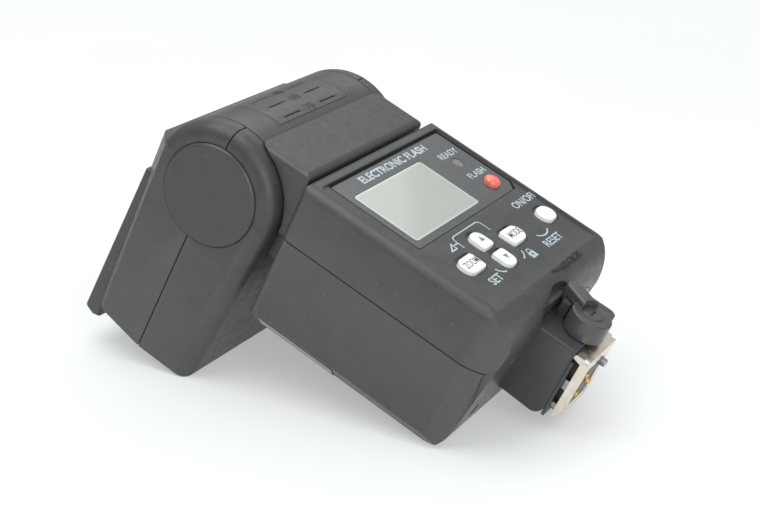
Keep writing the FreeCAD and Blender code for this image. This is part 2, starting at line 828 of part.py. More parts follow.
def head_shells():
    """Upper and lower head shells, cut from one hollow form at the sloping seam."""
    form = head_form(0, True)
    core = head_form(head_wall, False)
    liner = cheek_inner + head_wall - 0.2
    core = core.cut(rod("x", drum_shell, -liner, liner, tilt_y, tilt_z))
    shell = form.cut(core)
    floor_half = half_head - 3.2
    floor = slab((-floor_half, head_front_top + 0.4, housing_base - head_wall),
                 (floor_half, housing_rear + 2, housing_base))
    shell = shell.fuse(floor.common(form))
    shell = shell.cut(rod("x", drum_clear, -cheek_inner, cheek_inner, tilt_y, tilt_z))
    shell = shell.cut(slab((-cheek_inner, neck_front - 0.6, body_top - 16.0),
                           (cheek_inner, neck_rear + 20.0, tilt_z)))
    shell = shell.cut(slab((-cheek_inner, tilt_y, body_top - 16.0),
                           (cheek_inner, neck_rear + 20.0, tilt_z + 10)))
    seat_half = housing_half + 0.4
    shell = shell.cut(slab((-seat_half, housing_front - overrun, housing_base),
                           (seat_half, housing_rear + part_gap, head_top + overrun)))
    band = lens_half + bezel_band
    opening = rectangle(-band, band, lens_low - bezel_band, lens_high + bezel_band, 2.0)
    shell = shell.cut(prism("XZ", opening, head_front - overrun, head_front + 8))

    cap_seat = cap_radius + part_gap
    shell = shell.cut(rod("x", cap_seat, -half_head, -half_head + cap_sunk, tilt_y, tilt_z))
    shell = shell.cut(rod("x", cap_seat, half_head - cap_sunk, half_head, tilt_y, tilt_z))
    pivot_seat = pivot_radius + press_gap
    shell = shell.cut(rod("x", pivot_seat, -half_head, -cheek_inner, tilt_y, tilt_z))
    blind_end = half_head - cap_sunk - 0.4
    shell = shell.cut(rod("x", pivot_seat, cheek_inner, blind_end, tilt_y, tilt_z))
    hole = release_radius + move_gap
    shell = shell.cut(rod("x", hole, -half_head, -half_head + 6.0, tilt_y, tilt_z))

    far = 60.0
    front_level = head_seam + head_seam_slope * (tilt_y + far)
    rear_level = head_seam + head_seam_slope * (tilt_y - far)
    half_gap = seam_gap / 2
    above = prism("YZ", [(-far, front_level + half_gap, 0), (far, rear_level + half_gap, 0),
                         (far, 2 * tilt_z, 0), (-far, 2 * tilt_z, 0)], -half_head, half_head)
    below = prism("YZ", [(-far, front_level - half_gap, 0), (far, rear_level - half_gap, 0),
                         (far, 0, 0), (-far, 0, 0)], -half_head, half_head)
    return shell.common(above), shell.common(below)


def hinge_cap():
    start = half_head - cap_sunk + press_gap
    cap = rod("x", cap_radius, start, half_head + cap_proud, tilt_y, tilt_z)
    face = half_head + cap_proud
    return cap.makeChamfer(cap_chamfer, [e for e in cap.Edges if abs(e.BoundBox.XMin - face) < NEAR])


def release_ring():
    end = -half_head + cap_sunk - press_gap
    face = -half_head - cap_proud
    cap = rod("x", cap_radius, face, end, tilt_y, tilt_z)
    cap = cap.makeChamfer(cap_chamfer, [e for e in cap.Edges if abs(e.BoundBox.XMax - face) < NEAR])
    bore = rod("x", release_radius + move_gap, face - overrun, end + overrun, tilt_y, tilt_z)
    return cap.cut(bore)


def release_button():
    face = -half_head - cap_proud
    button = rod("x", release_radius, face, release_back, tilt_y, tilt_z)
    return rounded_edges(button, 0.6, lambda e: abs(e.BoundBox.XMax - face) < NEAR)


def tilt_pivots():
    left = ring("x", pivot_radius, pivot_radius - pivot_wall, drum_width / 2 - neck_wall - 2.0,
                half_head - cap_sunk - 0.6, tilt_y, tilt_z)
    right = ring("x", pivot_radius, pivot_radius - pivot_wall, -cheek_inner - 1.2,
                 -drum_width / 2 + neck_wall + 2.0, tilt_y, tilt_z)
    return Part.makeCompound([left, right])


def lens_bezel():
    outline = rectangle(-lens_half - bezel_band + part_gap, lens_half + bezel_band - part_gap,
                        lens_low - bezel_band + part_gap, lens_high + bezel_band - part_gap, 1.9)
    mouth = rectangle(-lens_half, lens_half, lens_low, lens_high, 1.2)
    seat = rectangle(-lens_half - 1.2, lens_half + 1.2, lens_low - 1.2, lens_high + 1.2, 1.2)
    frame = prism("XZ", outline, -60, head_front_top + 3.0).common(head_form(0.3, False))
    frame = frame.cut(prism("XZ", mouth, -60, head_front_top + 4.0))
    return frame.cut(prism("XZ", seat, head_front_top + 1.2, head_front_top + 4.0))


def flash_lens():
    outline = rectangle(-lens_half - 1.1, lens_half + 1.1, lens_low - 1.1, lens_high + 1.1, 1.1)
    plate = prism("XZ", outline, lens_front, lens_front + lens_thick)
    back = lens_front + lens_thick + part_gap
    level = lens_low + 1.0
    while level < lens_high - 0.5:
        corners = [
            V(-lens_half, back, level), V(-lens_half, back - groove_deep, level),
            V(-lens_half, back, level + groove_high), V(-lens_half, back, level),
        ]
        groove = Part.Face(Part.makePolygon(corners)).extrude(V(2 * lens_half, 0, 0))
        plate = plate.cut(groove)
        level += groove_pitch
    return plate


def head_top_housing():
    side = [
        (housing_rear, housing_base + 0.05, 0.2), (housing_rear, housing_top_rear, 0.5),
        (housing_front + 1.2, housing_top_front, 1.2), (housing_front, housing_top_front - 3.0, 1.0),
        (housing_front + 0.6, housing_base - 0.2, 0.5), (head_front + 0.8, housing_base - 0.2, 0.3),
        (head_front_top - 0.2, housing_base + 0.05, 0),
    ]
    body = prism("YZ", side, -housing_half, housing_half)
    body = rounded_edges(body, 0.9, lambda e: e.BoundBox.ZMin > housing_base + 1.5
                         and e.BoundBox.XLength < NEAR and e.BoundBox.YLength > 10)
    slot = slab((-panel_half - move_gap, housing_front - 1, panel_floor),
                (panel_half + move_gap, housing_rear - 1.5, panel_floor + panel_slot))
    return body.cut(slot)


def wide_panel():
    low = panel_floor + (panel_slot - panel_thick) / 2
    front = housing_front + 0.9
    outline = rectangle(-panel_half, panel_half, front, front + panel_length, 1.0)
    return prism("XY", outline, low, low + panel_thick)


# ---- zoom mechanism -------------------------------------------------------------------
def flash_reflector():
    """Trough with a curved back, open to the front, and two end plates."""
    mouth = reflector_mouth / 2
    throat = reflector_throat / 2
    front = reflector_rear - reflector_depth
    outer = [
        (reflector_rear, lamp_centre_z - throat, 2.4), (front, lamp_centre_z - mouth, 0),
        (front, lamp_centre_z + mouth, 0), (reflector_rear, lamp_centre_z + throat, 2.4),
    ]
    inner = [
        (reflector_rear - reflector_wall, lamp_centre_z - throat + 0.6, 1.9),
        (front - 1, lamp_centre_z - mouth + 0.3, 0), (front - 1, lamp_centre_z + mouth - 0.3, 0),
        (reflector_rear - reflector_wall, lamp_centre_z + throat - 0.6, 1.9),
    ]
    shell = prism("YZ", outer, -reflector_half, reflector_half)
    trough = reflector_half - reflector_wall
    shell = shell.cut(prism("YZ", inner, -trough, trough))
    return shell.cut(rod("x", tube_radius + part_gap, -half_head, half_head, tube_y, lamp_centre_z))


def flash_tube():
    return rod("x", tube_radius, -lens_half, lens_half, tube_y, lamp_centre_z)


def zoom_carriage():
    half = half_head - 3.0
    plate = slab((-half, reflector_rear + fit_gap, tilt_z - 10.0),
                 (half, reflector_rear + 1.6, tilt_z + 8.4))
    parts = [plate]
    for side in (-1, 1):
        parts.append(rod("y", rail_boss, reflector_rear - 5.0, reflector_rear + 1.6,
                         side * rail_x, rail_z))
    shelf_low = lamp_centre_z + reflector_mouth / 2 + 0.1
    front = reflector_rear - reflector_depth
    parts.append(slab((screw_x - 4, front, shelf_low),
                      (screw_x + 4, reflector_rear + 1.6, shelf_low + 0.7)))
    parts.append(slab((screw_x - 3, front, shelf_low),
                      (screw_x + 3, front + 3.0, screw_z + 2.4)))
    carriage = join(parts)
    for side in (-1, 1):
        carriage = carriage.cut(rod("y", rail_radius + fit_gap, head_front, 0, side * rail_x, rail_z))
    return carriage.cut(rod("y", rail_radius + press_gap / 2, head_front, 0, screw_x, screw_z))


def zoom_rails():
    start = head_front_top + 3.4
    rails = [rod("y", rail_radius, start, rail_rear, side * rail_x, rail_z) for side in (-1, 1)]
    return Part.makeCompound(rails)


def zoom_motor():
    """Linear stepper motor; the screw passes through the nut inside its rotor."""
    return ring("y", motor_radius, rail_radius + fit_gap, motor_front, motor_rear, screw_x, screw_z)


def lead_screw():
    """Screw fixed in the carriage's lug, which the motor draws through itself."""
    front = reflector_rear - reflector_depth
    return rod("y", rail_radius, front, motor_rear + screw_spare, screw_x, screw_z)


def trigger_coil():
    return slab((-25.0, reflector_rear - 11.0, tilt_z + 9.4), (-13.0, reflector_rear, tilt_z + 15.8))


# ---- shoe foot -----------------------------------------------------------------------
def foot_block():
    side = [
        (block_front + 0.8, block_top, 0), (block_front, block_floor, 3.0),
        (block_rear, block_floor, 0.5), (block_rear, block_top, 0),
    ]
    block = prism("YZ", side, -block_half, block_half)
    block = rounded_edges(block, 0.7, lambda e: e.BoundBox.ZLength > 8 and e.BoundBox.XLength < NEAR)
    flange_half = block_half + 3.5
    flange = slab((-flange_half, block_front + 1.0, block_top - 1.2),
                  (flange_half, block_rear + 0.6, block_top))
    half = foot_width / 2 + 0.1
    low, high = block_floor - 1.2, lever_z + 8.1
    shoulder = [(-half, low, 2.2), (0.5, low, 0.3), (0.5, high, 0.3), (-half, high, 1.6)]
    rear_part = prism("XZ", shoulder, block_rear - 0.5, pocket_floor)
    hub_room = rod("y", lever_radius + move_gap, block_rear, body_rear, 0, lever_z)
    block = join([block, flange, rear_part.cut(hub_room)])
    block = block.cut(slab((-7.0, block_front + 2.8, block_floor - part_gap),
                           (7.0, block_rear - 2.4, block_top + overrun)))
    return block.cut(rod("y", lever_shaft + fit_gap, 5, block_rear + overrun, 0, lever_z))


def foot_insulator():
    """Plastic insert under the block that carries the contacts and seals the plate's window."""
    half_x, half_y = plate_window
    rear = half_y + 0.9
    half = foot_width / 2 + 0.2
    flange = rectangle(-half, half, block_front + 0.7, rear, 0.8)
    upper = prism("XY", flange, block_floor - 0.8, block_floor)
    spine = slab((-half_x - 0.6, block_front + 2.2, foot_thick),
                 (half_x + 0.6, rear, block_floor - 0.5))
    core = slab((-half_x + part_gap, -half_y + part_gap, 0.25),
                (half_x - part_gap, half_y - part_gap, foot_thick + 0.2))
    shape = join([upper, spine, core])
    for x, y in pin_spots:
        shape = shape.cut(rod("z", pin_radius + fit_gap, -1, block_floor + 1, x, y))
    return shape.cut(rod("z", lock_radius + fit_gap, -1, block_floor + 1, *lock_spot))


def foot_plate():
    """Metal plate that slides into the shoe, with an upstand along its rear edge."""
    half, rear = foot_width / 2, foot_length / 2
    half_x, half_y = plate_window
    plate = prism("XY", rectangle(-half, half, -rear, rear, 1.2), 0, foot_thick)
    plate = plate.cut(slab((-half_x, -half_y, -1), (half_x, half_y, foot_thick + 1)))
    top = block_floor - fit_gap
    upstand = [
        (rear - 2.0, foot_thick - 0.5, 0), (rear, foot_thick - 0.5, 0),
        (rear, top, 0.6), (rear - 1.2, top, 0),
    ]
    plate = plate.fuse(prism("YZ", upstand, -half, half)).removeSplitter()
    for x in (-foot_screw_x, foot_screw_x):
        bore = rod("z", foot_screw_radius + part_gap, -1, foot_thick + 1, x, foot_screw_y)
        plate = plate.cut(bore)
    return plate


def foot_spring():
    """Thin side springs that press the foot in the shoe."""
    strips = []
    low, high = foot_thick + fit_gap, block_floor - 0.85
    for side in (-1, 1):
        x = side * (foot_width / 2 - 1.4)
        strips.append(slab((x - 0.15, -1.4, low), (x + 0.15, 1.4, high)))
    return Part.makeCompound(strips)


def contact_pin(x, y):
    top = block_floor + collar_rise
    tip = rod("z", pin_radius, -pin_proud, top, x, y)
    tip = rounded_edges(tip, pin_round, lambda e: abs(e.BoundBox.ZMax + pin_proud) < NEAR)
    return join([tip, rod("z", pin_radius + collar_grow, block_floor + fit_gap, top, x, y)])


def lock_pin():
    x, y = lock_spot
    top = block_floor + collar_rise
    pin = rod("z", lock_radius, -lock_proud, top, x, y)
    pin = rounded_edges(pin, pin_round, lambda e: abs(e.BoundBox.ZMax + lock_proud) < NEAR)
    return join([pin, rod("z", lock_radius + collar_grow, block_floor + fit_gap, top, x, y)])


def foot_screws():
    screws = []
    for x in (-foot_screw_x, foot_screw_x):
        screws.append(rod("z", foot_screw_radius, 0.15, block_floor - 0.85, x, foot_screw_y))
    return Part.makeCompound(screws)


def lock_lever():
    """Round hub turning about Y, with a thumb tab that leans off vertical when locked."""
    hub = rod("y", lever_radius, block_rear + move_gap, lever_face, 0, lever_z)
    hub = rounded_edges(hub, 0.5, lambda e: abs(e.BoundBox.YMin - lever_face) < NEAR)
    tab_face = lever_face + 2.0
    corners = [(-2.4, 1.5, 0), (2.4, 1.5, 0), (2.2, lever_reach, 1.8), (-2.2, lever_reach, 1.8)]
    tab = prism("XZ", corners, lever_face - 0.9, tab_face)
    tab = rounded_edges(tab, 0.8, lambda e: abs(e.BoundBox.YMin - tab_face) < NEAR)
    tab.rotate(V(0, 0, 0), Y_AXIS, -lever_lean)
    tab.translate(V(0, 0, lever_z))
    shaft = rod("y", lever_shaft, 7.0, block_rear + overrun, 0, lever_z)
    lever = join([hub, tab, shaft])
    recess = rod("y", lever_cap_radius + part_gap, lever_face - 1.0, tab_face + overrun, 0, lever_z)
    return lever.cut(recess)


def lever_cap():
    face = lever_face + 0.2
    cap = rod("y", lever_cap_radius, lever_face - 1.0 + press_gap, face, 0, lever_z)
    cap = rounded_edges(cap, 0.3, lambda e: abs(e.BoundBox.YMin - face) < NEAR)
    return cap.cut(slab((-1.5, face - 0.4, lever_z - 0.25), (1.5, face + overrun, lever_z + 0.25)))


def main():
    os.makedirs("parts", exist_ok=True)
    rear, front, cover = body_shells()
    upper, lower = head_shells()
    pieces = {
        "rear_shell": rear,
        "front_shell": front,
        "bottom_cover": cover,
        "cover_screws": cover_screws(),
        "af_window": prism("XY", front_window_outline(0), af_low, af_high),
        "display_cover": display_cover(),
        "display_module": display_module(),
        "ready_lamp": ready_lamp(),
        "switch_board": switch_board(),
        "dome_switches": dome_switches(),
        "main_capacitor": main_capacitor(),
        "battery_holder": battery_holder(),
        "battery_cells": battery_cells(),
        "battery_contacts": battery_contacts(),
        "battery_door": battery_door(),
        "door_latch": door_latch(),
        "door_pin": door_pin(),
        "door_contacts": door_contacts(),
        "neck_housing": neck_housing(),
        "angle_scale": angle_scale(),
        "swivel_tube": swivel_tube(),
        "swivel_bush": swivel_bush(),
        "swivel_retainer": swivel_retainer(),
        "head_upper_shell": upper,
        "head_lower_shell": lower,
        "head_top_housing": head_top_housing(),
        "wide_panel": wide_panel(),
        "lens_bezel": lens_bezel(),
        "flash_lens": flash_lens(),
        "hinge_cap": hinge_cap(),
        "release_ring": release_ring(),
        "release_button": release_button(),
        "tilt_pivots": tilt_pivots(),
        "flash_reflector": flash_reflector(),
        "flash_tube": flash_tube(),
        "zoom_carriage": zoom_carriage(),
        "zoom_rails": zoom_rails(),
        "zoom_motor": zoom_motor(),
        "lead_screw": lead_screw(),
        "trigger_coil": trigger_coil(),
        "foot_block": foot_block(),
        "foot_insulator": foot_insulator(),
        "foot_plate": foot_plate(),
        "foot_spring": foot_spring(),
        "foot_screws": foot_screws(),
        "lock_pin": lock_pin(),
        "lock_lever": lock_lever(),
        "lever_cap": lever_cap(),
    }
    pieces.update(buttons())
    for number, (x, y) in enumerate(pin_spots, 1):
        pieces["contact_pin_%d" % number] = contact_pin(x, y)
    for name, shape in pieces.items():
        export(name, shape)


main()
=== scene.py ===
import json
import math

import bpy
from mathutils import Matrix, Vector

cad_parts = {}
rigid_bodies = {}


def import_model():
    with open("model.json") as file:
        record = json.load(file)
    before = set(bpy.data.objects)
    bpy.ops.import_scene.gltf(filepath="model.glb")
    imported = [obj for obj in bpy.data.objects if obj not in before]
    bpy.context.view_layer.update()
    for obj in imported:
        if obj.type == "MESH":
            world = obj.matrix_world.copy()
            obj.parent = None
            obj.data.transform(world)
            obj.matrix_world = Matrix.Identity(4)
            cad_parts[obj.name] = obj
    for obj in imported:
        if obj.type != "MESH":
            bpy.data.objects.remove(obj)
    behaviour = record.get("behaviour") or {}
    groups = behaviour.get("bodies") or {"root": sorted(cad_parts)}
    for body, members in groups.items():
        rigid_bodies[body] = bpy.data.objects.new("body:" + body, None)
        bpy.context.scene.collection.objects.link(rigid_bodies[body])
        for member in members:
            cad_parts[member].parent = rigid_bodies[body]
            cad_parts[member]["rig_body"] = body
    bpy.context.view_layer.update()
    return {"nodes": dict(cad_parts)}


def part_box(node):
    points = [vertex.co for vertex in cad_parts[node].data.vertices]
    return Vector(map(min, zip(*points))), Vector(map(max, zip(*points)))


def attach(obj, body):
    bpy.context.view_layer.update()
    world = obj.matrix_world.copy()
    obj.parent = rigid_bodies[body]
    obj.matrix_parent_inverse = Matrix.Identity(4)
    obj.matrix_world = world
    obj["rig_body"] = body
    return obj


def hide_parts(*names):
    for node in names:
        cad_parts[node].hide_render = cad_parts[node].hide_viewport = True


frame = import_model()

bl_info = {
    "name": "Shoe-mount flash unit",
    "version": (1, 0, 0),
    "blender": (4, 5, 0),
    "location": "View3D > Sidebar > Flash unit",
    "description": "Finishes, prints and soft-edged keys for a camera flash, with a pale studio",
    "category": "Object",
}

# Millimetres, in the part's own frame: +Z to the head, +Y to the control face.
MM = 0.001
PANEL_Y = 19.2          # control face
REAR_Y = 19.7           # rim round the control face
ROLL = 10.0             # rounding of the body's lower rear edge
ROLL_TOP = 23.7         # height where that rounding begins
PRINT_THICK = 0.02
KEY_COLLAR = 0.4        # collar round each key, inside the shell
KEY_CORNER = 0.9        # the keys' small corners
KEY_ROUND = 2.5         # outer corners of the side keys
ARROW_ROUND = 2.3       # outer corners of the arrow keys
POWER_ROUND = 2.69      # corners of the power button, which ends in half circles
TEST_ROUND = 2.34       # radius of the test button
KEY_SHOULDER = 0.5      # rounding of the keys' front edges
KEY_CROWN = 0.1         # how far the keys' tops rise to their middle
TEST_SHOULDER = 1.1
TEST_CROWN = 0.15
KEY_COLLAR_BACK = 0.6   # from the end of a key's stem to its collar
KEY_COLLAR_FRONT = 1.9
SHOULDER_STEPS = 8
DRUM_AXIS = (1.7, 98.0)         # y and z of the tilt axis
DRUM_RADIUS = 18.32
DRUM_LIFT = 0.05        # print over the angle scale
LCD_CENTRE = (7.6, 57.4)
LCD_HALF = (16.9, 9.2)
LCD_BORDER = 0.35
FLOOR_REACH = 3.0       # metres from the middle of the floor to its edge
LIGHT_AIM = (0.0, 0.0, 0.06)    # metres
BEVEL_SAMPLES = 6
# Printed words: text, centre, share of the label height, boldness and width.
COVER_WORDS = (
    ("READY", (22.3, 64.7), 1.0, 0.05, 1.07),
    ("FLASH", (22.5, 55.4), 1.0, 0.05, 1.12),
)
PANEL_WORDS = (
    ("ON/OFF", (24.9, 41.3), 1.12, 0.05, 1.13),
    ("RESET", (15.4, 27.6), 1.15, 0.05, 1.09),
    ("SET", (-18.3, 28.1), 1.15, 0.05, 1.1),
)
TITLE_SPOT = (0.8, 69.9)
SCALE_NUMBERS = (("75", -3.6), ("60", 12.0), ("45", 28.0))     # degrees round the drum
SCALE_HEIGHT = 2.5
KEY_TEXT_HEIGHT = 2.0


# ---- colours and nodes ---------------------------------------------------------------
def linear(code):
    """An sRGB hex colour as linear RGBA."""
    channels = [int(code[i:i + 2], 16) / 255 for i in (1, 3, 5)]
    return tuple(c / 12.92 if c <= 0.04045 else ((c + 0.055) / 1.055) ** 2.4
                 for c in channels) + (1.0,)


def add(tree, kind, inputs=None, **attributes):
    """A node with its settings; an input given a socket is linked to it."""
    made = tree.nodes.new(kind)
    for key, value in attributes.items():
        setattr(made, key, value)
    for key, value in (inputs or {}).items():
        if isinstance(value, bpy.types.NodeSocket):
            tree.links.new(value, made.inputs[key])
        else:
            made.inputs[key].default_value = value
    return made


def blank(name):
    material = bpy.data.materials.new(name)
    material.use_nodes = True
    material.node_tree.nodes.clear()
    return material, material.node_tree


def finish_material(tree, shader):
    add(tree, "ShaderNodeOutputMaterial", {"Surface": shader})


def mottle(tree, spacing, low, high, detail=3.0, sharp=(0.35, 0.65)):
    """Noise of the given spacing in millimetres, ramped between two colours or greys."""
    where = add(tree, "ShaderNodeTexCoord")
    noise = add(tree, "ShaderNodeTexNoise", {
        "Vector": where.outputs["Object"], "Scale": 1 / (spacing * MM), "Detail": detail,
        "Roughness": 0.55})
    ramp = add(tree, "ShaderNodeValToRGB", {"Fac": noise.outputs["Fac"]})
    ramp.color_ramp.elements[0].position = sharp[0]
    ramp.color_ramp.elements[1].position = sharp[1]
    ramp.color_ramp.elements[0].color = low
    ramp.color_ramp.elements[1].color = high
    return ramp.outputs["Color"]


def grey(value):
    return (value, value, value, 1.0)


def scaled(colour, factor):
    return tuple(c * factor for c in colour[:3]) + (1.0,)


def soft_normal(tree, radius, grain, depth):
    """Rounded edges of the given radius under a moulded grain, both in millimetres."""
    edge = add(tree, "ShaderNodeBevel", {"Radius": radius * MM}, samples=BEVEL_SAMPLES)
    where = add(tree, "ShaderNodeTexCoord")
    pits = add(tree, "ShaderNodeTexNoise", {
        "Vector": where.outputs["Object"], "Scale": 1 / (grain * MM), "Detail": 2.0})
    bump = add(tree, "ShaderNodeBump", {
        "Strength": 1.0, "Distance": depth * MM, "Height": pits.outputs["Fac"],
        "Normal": edge.outputs["Normal"]})
    return bump.outputs["Normal"]


def moulded(name, colour, roughness, grain, depth, radius=0.25, wear=0.0, dust=0.0, **sockets):
    """A moulded plastic: mottled colour, grained bump, rubbed edges and a few dust specks."""
    material, tree = blank(name)
    base = mottle(tree, 6.0, scaled(colour, 0.90), scaled(colour, 1.10))
    if wear:
        rubbed = add(tree, "ShaderNodeNewGeometry")
        edge = add(tree, "ShaderNodeMapRange", {
            "Value": rubbed.outputs["Pointiness"], "From Min": 0.52, "From Max": 0.62,
            "To Max": wear})
        mixed = add(tree, "ShaderNodeMix", {
            "Factor": edge.outputs["Result"], 6: base, 7: scaled(colour, 2.6)}, data_type="RGBA")
        base = mixed.outputs[2]
    if dust:
        specks = mottle(tree, 0.55, grey(0), grey(1), 1.0, (0.77, 0.80))
        amount = add(tree, "ShaderNodeMath", {0: specks, 1: dust}, operation="MULTIPLY")
        mixed = add(tree, "ShaderNodeMix", {
            "Factor": amount.outputs["Value"], 6: base, 7: linear("#B9B8B4")}, data_type="RGBA")
        base = mixed.outputs[2]
    shine = mottle(tree, 2.2, grey(roughness - 0.05), grey(roughness + 0.06))
    shader = add(tree, "ShaderNodeBsdfPrincipled", {
        "Base Color": base, "Roughness": shine, "IOR": 1.53,
        "Normal": soft_normal(tree, radius, grain, depth), **sockets})
    finish_material(tree, shader.outputs["BSDF"])
    return material


def metal(name, colour, roughness, line=0.12, depth=0.003, radius=0.12, along=(1, 1, 1)):
    """A metal with fine scratches; along stretches them, in share of their spacing."""
    material, tree = blank(name)
    where = add(tree, "ShaderNodeTexCoord")
    spread = add(tree, "ShaderNodeMapping", {"Vector": where.outputs["Object"], "Scale": along})
    lines = add(tree, "ShaderNodeTexNoise", {
        "Vector": spread.outputs["Vector"], "Scale": 1 / (line * MM), "Detail": 3.0})
    edge = add(tree, "ShaderNodeBevel", {"Radius": radius * MM}, samples=BEVEL_SAMPLES)
    bump = add(tree, "ShaderNodeBump", {
        "Strength": 0.6, "Distance": depth * MM, "Height": lines.outputs["Fac"],
        "Normal": edge.outputs["Normal"]})
    shader = add(tree, "ShaderNodeBsdfPrincipled", {
        "Base Color": mottle(tree, 3.0, scaled(colour, 0.86), scaled(colour, 1.04)),
        "Metallic": 1.0,
        "Roughness": mottle(tree, 1.4, grey(roughness - 0.06), grey(roughness + 0.1)),
        "Normal": bump.outputs["Normal"]})
    finish_material(tree, shader.outputs["BSDF"])
    return material


def paint(material, slot, *nodes):
    """Gives CAD nodes a material; the slot argument is not used."""
    for name in nodes:
        piece = frame["nodes"][name]
        piece.data.materials.clear()
        piece.data.materials.append(material)


# ---- shapes --------------------------------------------------------------------------
def solid(name, points, faces, material, body, smooth=True):
    """A mesh piece from points in millimetres that rides on a body."""
    mesh = bpy.data.meshes.new(name)
    mesh.from_pydata([Vector(p) * MM for p in points], [], faces)
    mesh.update()
    if smooth:
        mesh.shade_smooth()
    mesh.materials.append(material)
    piece = bpy.data.objects.new(name, mesh)
    bpy.context.scene.collection.objects.link(piece)
    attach(piece, body)
    return piece


def outline_curve(outlines):
    """Filled flat shapes from closed outlines in millimetres, as a mesh in millimetres."""
    curve = bpy.data.curves.new("outline", "CURVE")
    curve.dimensions = "2D"
    curve.fill_mode = "BOTH"
    curve.extrude = PRINT_THICK / 2
    for outline in outlines:
        spline = curve.splines.new("POLY")
        spline.points.add(len(outline) - 1)
        for point, (a, b) in zip(spline.points, outline):
            point.co = (a, b, 0, 1)
        spline.use_cyclic_u = True
    return flat_mesh(curve)


def words(text, spot, height, bold=0.0, width=1.0):
    """Text with capitals of the given height, centred on spot, as a mesh in millimetres."""
    curve = bpy.data.curves.new("words", "FONT")
    curve.body = text
    curve.align_x = "CENTER"
    curve.align_y = "CENTER"
    curve.size = height / 0.69
    curve.offset = bold
    curve.extrude = PRINT_THICK / 2
    mesh = flat_mesh(curve)
    mesh.transform(Matrix.Translation((*spot, 0)) @ Matrix.Diagonal((width, 1, 1, 1)))
    return mesh


def flat_mesh(curve):
    holder = bpy.data.objects.new("holder", curve)
    mesh = bpy.data.meshes.new_from_object(holder)
    bpy.data.objects.remove(holder)
    return mesh


def ribbon(points, width):
    """The closed outline of a line of the given width along open points."""
    left, right = [], []
    for i, point in enumerate(points):
        here = Vector(point)
        before = Vector(points[max(i - 1, 0)])
        after = Vector(points[min(i + 1, len(points) - 1)])
        way = (after - before).normalized()
        side = Vector((-way.y, way.x)) * width / 2
        left.append(tuple(here + side))
        right.append(tuple(here - side))
    return left + right[::-1]


def arc(centre, radius, start, end, count=10):
    steps = [math.radians(start + (end - start) * i / count) for i in range(count + 1)]
    return [(centre[0] + radius * math.cos(a), centre[1] + radius * math.sin(a)) for a in steps]


def merged(name, meshes, place, material, body):
    """One piece from flat meshes, each point put in place by a function, in millimetres."""
    points, faces = [], []
    for mesh in meshes:
        start = len(points)
        points += [place(*v.co) for v in mesh.vertices]
        faces += [[start + i for i in face.vertices] for face in mesh.polygons]
    return solid(name, points, faces, material, body, smooth=False)


def on_face(level):
    """Places flat print on the control face, read from behind the unit."""
    return lambda a, b, c: (-a, level + PRINT_THICK / 2 + c, b)


def on_roll(a, b, c):
    """Places flat print where the control face rolls over into the underside."""
    lift = PRINT_THICK / 2 + c
    drop = max(ROLL_TOP - b, 0)
    roll = REAR_Y - ROLL + math.sqrt(ROLL ** 2 - drop ** 2)
    return -a, min(roll, PANEL_Y) + lift, b


def rounded_outline(spot, size, radii, count=8):
    """Corner radii run from the low -X corner, anticlockwise seen from -Y."""
    x, z = spot
    w, h = size[0] / 2, size[1] / 2
    points = []
    for (sx, sz, start), r in zip(((-1, -1, 180), (1, -1, 270), (1, 1, 0), (-1, 1, 90)), radii):
        centre = (x + sx * (w - r), z + sz * (h - r))
        points += arc(centre, r, start, start + 90, count)
    return points


def pillow(name, outline, centre, levels, material, body):
    """A key: rings of its outline, each drawn in by a share and set at a level."""
    points, faces = [], []
    count = len(outline)
    for inset, y in levels:
        for a, b in outline:
            reach = math.hypot(a - centre[0], b - centre[1])
            keep = max(reach - inset, 0.02) / reach
            points.append((centre[0] + (a - centre[0]) * keep, y,
                           centre[1] + (b - centre[1]) * keep))
    for ring in range(len(levels) - 1):
        for i in range(count):
            j = (i + 1) % count
            low, high = ring * count, (ring + 1) * count
            faces.append([low + i, high + i, high + j, low + j])
    faces.append(list(range(count)))
    faces.append(list(range((len(levels) - 1) * count, len(levels) * count))[::-1])
    return solid(name, points, faces, material, body)


# ---- settings ------------------------------------------------------------------------
def colour_property(name, description, code):
    return bpy.props.FloatVectorProperty(
        name=name, description=description, subtype="COLOR", size=4, min=0, max=1,
        default=linear(code))


def length_property(name, description, value):
    return bpy.props.FloatProperty(
        name=name, description=description, default=value * MM, min=0, unit="LENGTH",
        precision=5)


class FlashFinish(bpy.types.PropertyGroup):
    shell: colour_property("Shell", "Charcoal ABS of the body and the head", "#3B3C3C")
    trim: colour_property("Trim", "Darker plastic of the neck, foot and lever", "#373838")
    cover: colour_property("Display cover", "Smooth plate round the display", "#3B3D3D")
    ink: colour_property("Print", "Pale printed lettering", "#B4C2C8")
    key: colour_property("Keys", "Translucent white keys", "#F4F4F1")
    test: colour_property("Test button", "Red lens of the test button", "#EE7068")
    glass: colour_property("Display", "Liquid-crystal glass, unlit", "#A7AEA6")
    red_window: colour_property("Red window", "Infra-red window of the focus lamp", "#3A0A10")
    grain: length_property("Grain", "Spacing of the moulded grain", 0.34)
    grain_depth: length_property("Grain depth", "Depth of the moulded grain", 0.018)
    edge: length_property("Edge radius", "Rounding of the shells' edges", 0.5)


class FlashPrint(bpy.types.PropertyGroup):
    title: bpy.props.StringProperty(
        name="Title", description="Words over the display", default="ELECTRONIC FLASH")
    title_height: length_property("Title height", "Height of the title's capitals", 2.35)
    label_height: length_property("Label height", "Height of the other capitals", 2.0)
    line: length_property("Line", "Width of the printed lines", 0.34)


